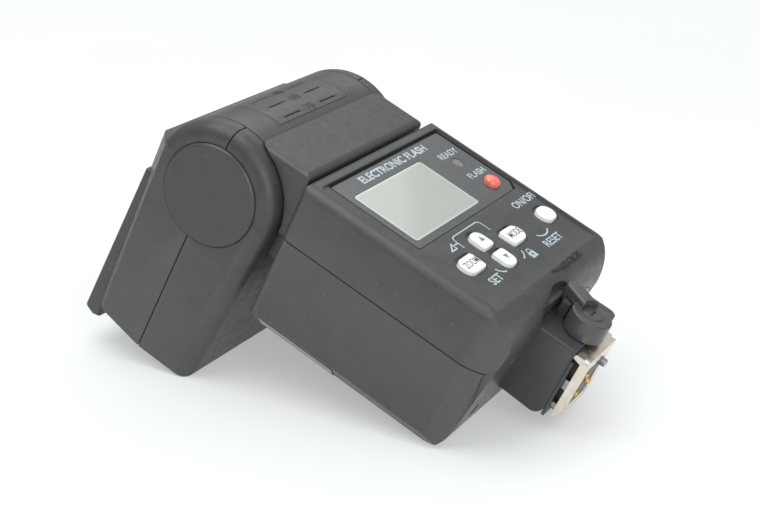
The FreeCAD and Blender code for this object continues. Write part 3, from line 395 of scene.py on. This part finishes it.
class FlashStage(bpy.types.PropertyGroup):
    camera: bpy.props.FloatVectorProperty(
        name="Camera", description="Where the camera stands", subtype="TRANSLATION",
        unit="LENGTH", default=(0.3514, 0.2057, -0.0464))
    aim: bpy.props.FloatVectorProperty(
        name="Aim", description="The point the camera looks at", subtype="TRANSLATION",
        unit="LENGTH", default=(0.0196, 0.0073, 0.0564))
    lean: bpy.props.FloatProperty(
        name="Lean", description="Turn of the camera's upright about X, from +Y",
        subtype="ANGLE", default=math.radians(25.8))
    lens: bpy.props.FloatProperty(
        name="Lens", description="Focal length on a 36 mm sensor", default=77.5, min=1,
        unit="CAMERA")
    key_power: bpy.props.FloatProperty(
        name="Key light", description="Power of the overhead softbox", default=2.6, min=0,
        unit="POWER")
    floor: colour_property("Floor", "Pale paper under the unit", "#F6F8F8")


# ---- operators -----------------------------------------------------------------------
class FLASH_OT_stage(bpy.types.Operator):
    """Camera, pale floor, soft lights and a pale world"""
    bl_idname = "flash_unit.stage"
    bl_label = "Stage"

    def execute(self, context):
        values = context.scene.flash_stage
        self.camera(context, values)
        normal, level = resting_plane()
        self.floor(context, values, normal, level)
        self.lights(context, values, normal)
        self.world(context, normal)
        context.scene.view_settings.view_transform = "Standard"
        context.scene.view_settings.look = "None"
        return {"FINISHED"}

    def camera(self, context, values):
        data = bpy.data.cameras.new("camera")
        data.lens = values.lens
        data.sensor_width = 36
        data.sensor_fit = "HORIZONTAL"
        data.clip_start = 0.01
        holder = bpy.data.objects.new("camera", data)
        context.scene.collection.objects.link(holder)
        back = (Vector(values.camera) - Vector(values.aim)).normalized()
        hint = Vector((0, math.cos(values.lean), math.sin(values.lean)))
        right = hint.cross(back).normalized()
        up = back.cross(right)
        turn = Matrix((right, up, back)).transposed().to_4x4()
        holder.matrix_world = Matrix.Translation(values.camera) @ turn
        context.scene.camera = holder

    def floor(self, context, values, normal, level):
        material, tree = blank("paper_backdrop")
        # Matt seamless paper: an even pale ground that takes a soft shadow.
        tone = tuple(values.floor)
        # It glows a little, as paper lit from behind, so no shadow on it is deep.
        sheet = add(tree, "ShaderNodeBsdfPrincipled", {
            "Base Color": mottle(tree, 90.0, scaled(tone, 0.60), scaled(tone, 0.62)),
            "Roughness": 0.9, "Specular IOR Level": 0.0, "Emission Color": tone,
            "Emission Strength": 0.40})
        clear = add(tree, "ShaderNodeBsdfTransparent")
        side = add(tree, "ShaderNodeNewGeometry")
        seen = add(tree, "ShaderNodeMixShader", {
            "Fac": side.outputs["Backfacing"], 1: sheet.outputs["BSDF"], 2: clear.outputs["BSDF"]})
        finish_material(tree, seen.outputs["Shader"])
        mesh = bpy.data.meshes.new("floor")
        across = Vector((1, 0, 0))
        along = normal.cross(across)
        centre = normal * level
        corners = [centre + (across * a + along * b) * FLOOR_REACH
                   for a, b in ((-1, -1), (1, -1), (1, 1), (-1, 1))]
        mesh.from_pydata(corners, [], [(0, 1, 2, 3)])
        mesh.materials.append(material)
        piece = bpy.data.objects.new("floor", mesh)
        context.scene.collection.objects.link(piece)

    def lights(self, context, values, normal):
        aim = Vector(LIGHT_AIM)
        for name, way, distance, size, share in (
                ("overhead", normal + Vector((0.25, 0.0, 0.25)), 0.75, 0.7, 1.0),
                ("fill", Vector((0.75, 0.65, -0.6)), 0.8, 0.6, 0.85),
                ("rear", Vector((-0.7, 0.7, 0.6)), 0.9, 0.7, 0.35)):
            data = bpy.data.lights.new(name, "AREA")
            data.shape = "DISK"
            data.size = size
            data.energy = values.key_power * share
            holder = bpy.data.objects.new(name, data)
            context.scene.collection.objects.link(holder)
            way = way.normalized()
            holder.location = aim + way * distance
            holder.rotation_mode = "QUATERNION"
            holder.rotation_quaternion = way.to_track_quat("Z", "Y")

    def world(self, context, normal):
        """Bright over the floor and dimmer round the horizon, as in a light tent."""
        world = bpy.data.worlds.new("studio")
        world.use_nodes = True
        tree = world.node_tree
        tree.nodes.clear()
        way = add(tree, "ShaderNodeTexCoord")
        height = add(tree, "ShaderNodeVectorMath", {0: way.outputs["Generated"], 1: normal},
                     operation="DOT_PRODUCT")
        amount = add(tree, "ShaderNodeMapRange", {
            "Value": height.outputs["Value"], "From Min": 0.0, "From Max": 0.9,
            "To Min": 0.30, "To Max": 0.95})
        light = add(tree, "ShaderNodeBackground", {
            "Color": linear("#F4F7F8"), "Strength": amount.outputs["Result"]})
        add(tree, "ShaderNodeOutputWorld", {"Surface": light.outputs["Background"]})
        context.scene.world = world


def resting_plane():
    """Normal and level of the floor that touches the head's lip and the body's front edge."""
    def corners(body):
        return [v.co for name, piece in frame["nodes"].items() if piece["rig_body"] == body
                for v in piece.data.vertices]
    head, body = corners("head"), corners("body")
    low, high = math.radians(2), math.radians(60)
    for _ in range(40):
        lean = (low + high) / 2
        normal = Vector((0, math.cos(lean), math.sin(lean)))
        gap = min(normal.dot(p) for p in head) - min(normal.dot(p) for p in body)
        low, high = (lean, high) if gap < 0 else (low, lean)
    return normal, min(normal.dot(p) for p in head + body)


class FLASH_OT_shells(bpy.types.Operator):
    """Moulded finishes of the body, the neck and the head"""
    bl_idname = "flash_unit.shells"
    bl_label = "Shells"

    def execute(self, context):
        look = context.scene.flash_finish
        grain, depth, edge = look.grain / MM, look.grain_depth / MM, look.edge / MM
        # ABS with a spark-eroded grain: matt charcoal, a broad soft sheen on the corners.
        shell = moulded("moulded_abs_shell", tuple(look.shell), 0.40, grain, depth, edge,
                        wear=0.35, dust=0.5)
        paint(shell, "shell", "rear_shell", "front_shell", "head_upper_shell",
              "head_lower_shell", "battery_door")
        # The same plastic from a smoother tool: darker, with a tighter sheen.
        trim = moulded("moulded_abs_trim", tuple(look.trim), 0.34, grain, depth * 0.6, edge,
                       wear=0.3, dust=0.5)
        paint(trim, "trim", "neck_housing", "head_top_housing", "hinge_cap", "release_ring",
              "release_button", "lens_bezel", "bottom_cover", "door_latch", "angle_scale")
        return {"FINISHED"}


class FLASH_OT_controls(bpy.types.Operator):
    """Soft-edged keys, the test button and the ready lamp"""
    bl_idname = "flash_unit.controls"
    bl_label = "Controls"

    def execute(self, context):
        look = context.scene.flash_finish
        # Translucent polycarbonate keys: milky white, light bleeds at the rims, glossy top.
        pearl = moulded("moulded_polycarbonate_keys", tuple(look.key), 0.26, 0.6, 0.004, 0.15,
                        **{"Subsurface Weight": 0.35, "Subsurface Radius": (0.6, 0.6, 0.6),
                           "Subsurface Scale": 1.2 * MM, "Coat Weight": 0.4,
                           "Coat Roughness": 0.12})
        # Clear red acrylic dome over a red base: saturated, with a sharp highlight.
        red = moulded("moulded_red_acrylic", tuple(look.test), 0.18, 0.8, 0.003, 0.15,
                      **{"Subsurface Weight": 0.3, "Subsurface Radius": (1.0, 0.2, 0.15),
                         "Subsurface Scale": 1.5 * MM, "Coat Weight": 0.8,
                         "Coat Roughness": 0.05})
        # Diffused lamp lens, unlit: dull grey with a satin surface.
        dull = moulded("moulded_lamp_diffuser", linear("#7A7C7B"), 0.42, 0.4, 0.01, 0.15)
        paint(dull, "lamp", "ready_lamp")
        big, small, wide = KEY_ROUND, KEY_CORNER, ARROW_ROUND
        for node, body, radii in (
                ("zoom_button", "zoom_key_body", (small, big, big, small)),
                ("mode_button", "mode_body", (big, small, small, big)),
                ("up_button", "up_body", (small, small, wide, wide)),
                ("down_button", "down_body", (wide, wide, small, small)),
                ("power_button", "power_body", (POWER_ROUND,) * 4)):
            self.key(node, body, radii, pearl, "key", KEY_SHOULDER, KEY_CROWN)
        self.key("test_button", "test_body", (TEST_ROUND,) * 4, red, "red_key",
                 TEST_SHOULDER, TEST_CROWN)
        return {"FINISHED"}

    def key(self, node, body, radii, material, slot, shoulder, crown):
        spot, size, back, face = key_place(node)
        outline = rounded_outline(spot, size, radii)
        levels = key_levels(back, face, shoulder, crown, min(size) / 2)
        made = pillow(node + "_cap", outline, spot, levels, material, body)
        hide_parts(node)


def key_place(node):
    """Centre and size of a key on the control face, its back and its front, in millimetres."""
    low, high = (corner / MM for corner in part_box(node))
    spot = ((low.x + high.x) / 2, (low.z + high.z) / 2)
    size = (high.x - low.x - 2 * KEY_COLLAR, high.z - low.z - 2 * KEY_COLLAR)
    return spot, size, low.y, high.y


def key_levels(back, face, shoulder, crown, half):
    """Rings of a key: collar, wall, rounded shoulder and a slightly crowned top."""
    collar_back, collar_front = back + KEY_COLLAR_BACK, back + KEY_COLLAR_FRONT
    rings = [(-KEY_COLLAR, collar_back), (-KEY_COLLAR, collar_front), (0.0, collar_front)]
    top = face - crown
    for i in range(SHOULDER_STEPS + 1):
        angle = math.radians(90 * i / SHOULDER_STEPS)
        rings.append((shoulder * (1 - math.cos(angle)), top - shoulder * (1 - math.sin(angle))))
    for share in (0.25, 0.5, 0.75, 1.0):
        rings.append((shoulder + share * (half - shoulder) * 0.98,
                      top + crown * (1 - (1 - share) ** 2)))
    return rings


class FLASH_OT_display(bpy.types.Operator):
    """Display cover, liquid-crystal glass and the red window"""
    bl_idname = "flash_unit.display"
    bl_label = "Display"

    def execute(self, context):
        look = context.scene.flash_finish
        # Hard-coated acrylic sheet, printed black behind: smooth, half gloss.
        cover = moulded("printed_acrylic_cover", tuple(look.cover), 0.30, 0.5, 0.003, 0.2,
                        wear=0.3, dust=0.4, **{"Coat Weight": 0.25, "Coat Roughness": 0.2})
        paint(cover, "cover_gloss", "display_cover")
        paint(self.glass(look), "lcd", "display_module")
        # Infra-red acrylic: nearly black, a deep red where light passes through it.
        red = moulded("moulded_infrared_acrylic", tuple(look.red_window), 0.12, 0.9, 0.002, 0.2,
                      **{"Coat Weight": 0.5, "Coat Roughness": 0.06})
        paint(red, "red_window", "af_window")
        return {"FINISHED"}

    def glass(self, look):
        """Unlit liquid crystal under glass: grey green, a paler border, faint dot rows."""
        material, tree = blank("liquid_crystal_glass")
        where = add(tree, "ShaderNodeTexCoord")
        parts = add(tree, "ShaderNodeSeparateXYZ", {"Vector": where.outputs["Object"]})
        edges = []
        for axis, middle, half in zip("XZ", LCD_CENTRE, LCD_HALF):
            off = add(tree, "ShaderNodeMath", {0: parts.outputs[axis], 1: middle * MM},
                      operation="SUBTRACT")
            size = add(tree, "ShaderNodeMath", {0: off.outputs["Value"]}, operation="ABSOLUTE")
            edges.append(add(tree, "ShaderNodeMapRange", {
                "Value": size.outputs["Value"], "From Min": (half - LCD_BORDER) * MM,
                "From Max": half * MM}).outputs["Result"])
        border = add(tree, "ShaderNodeMath", {0: edges[0], 1: edges[1]}, operation="MAXIMUM")
        cells = add(tree, "ShaderNodeTexWave", {
            "Vector": where.outputs["Object"], "Scale": 1 / (2.2 * MM)},
            bands_direction="Z", wave_profile="SIN")
        faint = add(tree, "ShaderNodeMix", {
            "Factor": cells.outputs["Fac"], 6: scaled(tuple(look.glass), 0.97),
            7: tuple(look.glass)}, data_type="RGBA")
        shaded = add(tree, "ShaderNodeMix", {
            "Factor": border.outputs["Value"], 6: faint.outputs[2], 7: linear("#BCC1BB")},
            data_type="RGBA")
        shader = add(tree, "ShaderNodeBsdfPrincipled", {
            "Base Color": shaded.outputs[2], "Roughness": 0.22, "IOR": 1.5,
            "Coat Weight": 1.0, "Coat Roughness": 0.08})
        finish_material(tree, shader.outputs["BSDF"])
        return material


class FLASH_OT_print(bpy.types.Operator):
    """Printed lettering and marks of the control face, the keys and the angle scale"""
    bl_idname = "flash_unit.print"
    bl_label = "Print"

    def execute(self, context):
        look = context.scene.flash_finish
        marks = context.scene.flash_print
        title, height = marks.title_height / MM, marks.label_height / MM
        line = marks.line / MM
        # Pad-printed ink: pale blue white, slightly rough against the plastic.
        ink = moulded("pad_printed_ink", tuple(look.ink), 0.5, 0.3, 0.004, 0.02)
        merged("cover_print", [
            words(marks.title, TITLE_SPOT, title, 0.1, 1.13),
            *(words(text, spot, height * share, *form) for text, spot, share, *form in COVER_WORDS),
        ], on_face(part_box("display_cover")[1].y / MM), ink, "body")
        merged("panel_print", [
            *(words(text, spot, height * share, *form) for text, spot, share, *form in PANEL_WORDS),
            outline_curve([ribbon(self.bracket(), line)]),
            outline_curve([ribbon([(-14.6, 41.6), (-16.4, 41.6)], line)]),
            outline_curve([[(-20.0, 40.3), (-16.5, 40.3), (-16.7, 42.7)],
                           [(-18.7, 40.7), (-16.95, 40.7), (-17.05, 41.9)]]),
            outline_curve([ribbon(arc((-11.6, 31.4), 3.2, 198, 262), line * 1.3)]),
            outline_curve([ribbon(arc((-2.2, 31.4), 3.2, 278, 342), line * 1.3)]),
            outline_curve([ribbon(arc((15.5, 35.3), 5.3, 231, 309), line * 1.3)]),
            outline_curve([rounded_outline((2.8, 27.7), (3.0, 2.1), (0.2,) * 4, 2),
                           arc((2.8, 27.8), 0.4, 0, 360, 12)[:-1]]),
            outline_curve([ribbon(arc((2.8, 28.8), 0.95, 0, 180), line)]),
        ], on_face(PANEL_Y), ink, "body")
        # Moulded-in lettering, left unprinted: the same black plastic, a little glossier.
        relief = moulded("moulded_lettering", linear("#17191B"), 0.25, 0.3, 0.004, 0.02)
        merged("lock_mark", [
            words("LOCK", (13.4, 20.4), height, 0.06, 1.3),
            outline_curve([ribbon(arc((5.0, 30.2), 9.8, 246, 284, 24), line * 2)]),
            outline_curve([[(7.2, 21.9), (9.2, 20.1), (6.4, 19.4)]]),
        ], on_roll, relief, "body")
        self.key_marks()
        self.angles(relief)
        return {"FINISHED"}

    def bracket(self):
        left, right, top, low, r = -14.4, 0.7, 43.7, 39.6, 1.5
        return [(left, low)] + arc((left + r, top - r), r, 180, 90, 6) \
            + arc((right - r, top - r), r, 90, 0, 6) + [(right, low)]

    def key_marks(self):
        # Engraved and filled grey: soft low-contrast marks on the white keys.
        grey_fill = moulded("filled_engraving", linear("#7C8184"), 0.45, 0.3, 0.004, 0.02)
        arrow = [(-1.0, -0.7), (1.0, -0.7), (0.0, 0.9)]
        for node, body, text, way in (
                ("zoom_button", "zoom_key_body", "ZOOM", 0),
                ("mode_button", "mode_body", "MODE", 0),
                ("up_button", "up_body", "", 1), ("down_button", "down_body", "", -1)):
            (x, z), size, back, face = key_place(node)
            if text:
                mark = words(text, (-x, z), KEY_TEXT_HEIGHT, 0.02, 0.75)
            else:
                mark = outline_curve([[(a - x, z + b * way) for a, b in arrow][::way]])
            merged(node + "_mark", [mark], on_face(face), grey_fill, body)

    def angles(self, relief):
        """Numbers between the drum's tick lines, wrapped round the tilt axis."""
        y, z = DRUM_AXIS

        def wrap(a, b, c):
            angle, radius = b / DRUM_RADIUS, DRUM_RADIUS + DRUM_LIFT + c
            return -a, y + radius * math.cos(angle), z + radius * math.sin(angle)
        numbers = [words(text, (0, DRUM_RADIUS * math.radians(degrees)), SCALE_HEIGHT, 0.08, 1.15)
                   for text, degrees in SCALE_NUMBERS]
        merged("angle_numbers", numbers, wrap, relief, "neck")


class FLASH_OT_optics(bpy.types.Operator):
    """Front lens, wide-angle panel, reflector and flash tube"""
    bl_idname = "flash_unit.optics"
    bl_label = "Optics"

    def execute(self, context):
        # Frosted polycarbonate Fresnel lens: milky, the reflector glows behind it.
        material, tree = blank("moulded_fresnel_lens")
        shader = add(tree, "ShaderNodeBsdfPrincipled", {
            "Base Color": mottle(tree, 4.0, linear("#DDE2E0"), linear("#E9EDEB")),
            "Roughness": mottle(tree, 1.0, grey(0.16), grey(0.26)), "IOR": 1.58,
            "Transmission Weight": 0.75,
            "Normal": soft_normal(tree, 0.15, 0.7, 0.012)})
        finish_material(tree, shader.outputs["BSDF"])
        paint(material, "lens", "flash_lens")
        # Clear polycarbonate panel with a fine prism grain.
        material, tree = blank("moulded_clear_panel")
        shader = add(tree, "ShaderNodeBsdfPrincipled", {
            "Base Color": mottle(tree, 5.0, linear("#DEE3E1"), linear("#EEF1F0")),
            "Roughness": 0.14, "IOR": 1.58, "Transmission Weight": 0.85,
            "Normal": soft_normal(tree, 0.15, 0.9, 0.02)})
        finish_material(tree, shader.outputs["BSDF"])
        paint(material, "panel", "wide_panel")
        # Vacuum-metallised reflector: bright, faintly streaked along its length.
        mirror = metal("metallised_reflector", linear("#E4E5E4"), 0.12, 0.5, 0.002, 0.1,
                       (0.05, 1, 1))
        paint(mirror, "reflector", "flash_reflector")
        # Fused-quartz tube with xenon, unlit: clear with a pale tint.
        material, tree = blank("fused_quartz_tube")
        shader = add(tree, "ShaderNodeBsdfPrincipled", {
            "Base Color": mottle(tree, 6.0, linear("#DCE6EC"), linear("#F0F4F6")),
            "Roughness": 0.05, "IOR": 1.46, "Transmission Weight": 0.9})
        finish_material(tree, shader.outputs["BSDF"])
        paint(material, "lens", "flash_tube")
        return {"FINISHED"}


class FLASH_OT_foot(bpy.types.Operator):
    """Shoe foot, its plated metal and contacts, and the lock lever"""
    bl_idname = "flash_unit.foot"
    bl_label = "Foot"

    def execute(self, context):
        look = context.scene.flash_finish
        # Glass-filled nylon: dense black with a fine dull grain.
        nylon = moulded("moulded_nylon_foot", tuple(look.trim), 0.44, 0.3, 0.02, 0.3,
                        wear=0.4, dust=0.5)
        paint(nylon, "trim", "foot_block", "foot_insulator")
        # Polished ABS lever: half gloss, worn pale on the thumb edge.
        lever = moulded("moulded_abs_lever", linear("#454646"), 0.30, 0.5, 0.008, 0.3,
                        wear=0.4, dust=0.4)
        paint(lever, "trim", "lock_lever", "lever_cap")
        # Nickel-plated steel plate: warm grey, scuffed along its sliding direction.
        plate = metal("nickel_plated_steel", linear("#EDE4D6"), 0.33, 0.14, 0.006, 0.15,
                      (1, 0.08, 1))
        paint(plate, "nickel", "foot_plate")
        # Gold-plated brass pins: warm yellow, polished by use.
        gold = metal("gold_plated_brass", linear("#D8B36A"), 0.2, 0.2, 0.002, 0.1)
        paint(gold, "gold", "contact_pin_1", "contact_pin_2", "contact_pin_3", "contact_pin_4",
              "battery_contacts", "door_contacts")
        # Turned and zinc-plated steel: bright, with fine turning marks.
        steel = metal("zinc_plated_steel", linear("#A9ABAD"), 0.3, 0.12, 0.004, 0.1)
        paint(steel, "steel", "lock_pin", "foot_spring", "foot_screws", "cover_screws", "door_pin",
              "tilt_pivots", "zoom_rails", "lead_screw", "swivel_retainer", "swivel_tube")
        return {"FINISHED"}


class FLASH_OT_inside(bpy.types.Operator):
    """Batteries, circuit board, capacitor and the zoom drive"""
    bl_idname = "flash_unit.inside"
    bl_label = "Inside"

    def execute(self, context):
        # Solder-masked glass epoxy: green, with darker tracks under the mask.
        board = moulded("etched_circuit_board", linear("#1F4A33"), 0.35, 1.1, 0.03, 0.1,
                        dust=0.2)
        paint(board, "board", "switch_board")
        # Heat-shrunk PVC sleeve: dark blue grey, glossy.
        sleeve = moulded("shrunk_pvc_sleeve", linear("#20262E"), 0.28, 1.5, 0.02, 0.3)
        paint(sleeve, "can", "main_capacitor", "zoom_motor", "trigger_coil")
        # Printed steel cell jackets: plain graphite, with a satin lacquer.
        cell = moulded("lacquered_cell_jacket", linear("#3B4650"), 0.3, 2.0, 0.01, 0.3,
                       **{"Coat Weight": 0.5, "Coat Roughness": 0.15})
        paint(cell, "cell", "battery_cells")
        # Natural acetal and nylon mouldings inside: off-white, waxy.
        inner = moulded("moulded_acetal_inner", linear("#77797A"), 0.42, 0.8, 0.01, 0.2)
        paint(inner, "inner", "battery_holder", "zoom_carriage", "swivel_bush")
        # Stamped dome switches: thin bright steel.
        dome = metal("stamped_dome_steel", linear("#C3C4C3"), 0.25, 0.3, 0.003, 0.1)
        paint(dome, "steel", "dome_switches")
        return {"FINISHED"}


class FLASH_PT_build(bpy.types.Panel):
    """Settings and steps of the flash unit"""
    bl_idname = "FLASH_PT_build"
    bl_label = "Flash unit"
    bl_space_type = "VIEW_3D"
    bl_region_type = "UI"
    bl_category = "Flash unit"

    def draw(self, context):
        for group in (context.scene.flash_finish, context.scene.flash_print,
                      context.scene.flash_stage):
            box = self.layout.box()
            for name in group.__annotations__:
                box.prop(group, name)
        for step in STEPS:
            self.layout.operator(step.bl_idname)


GROUPS = {"flash_finish": FlashFinish, "flash_print": FlashPrint, "flash_stage": FlashStage}
STEPS = (FLASH_OT_stage, FLASH_OT_shells, FLASH_OT_controls, FLASH_OT_display, FLASH_OT_print,
         FLASH_OT_optics, FLASH_OT_foot, FLASH_OT_inside)
CLASSES = (*GROUPS.values(), *STEPS, FLASH_PT_build)


def register():
    for made in CLASSES:
        bpy.utils.register_class(made)
    for name, group in GROUPS.items():
        setattr(bpy.types.Scene, name, bpy.props.PointerProperty(type=group))


def unregister():
    for name in GROUPS:
        delattr(bpy.types.Scene, name)
    for made in reversed(CLASSES):
        bpy.utils.unregister_class(made)


def main():
    register()
    for step in STEPS:
        family, name = step.bl_idname.split(".")
        getattr(getattr(bpy.ops, family), name)()


if __name__ == "__main__":
    main()
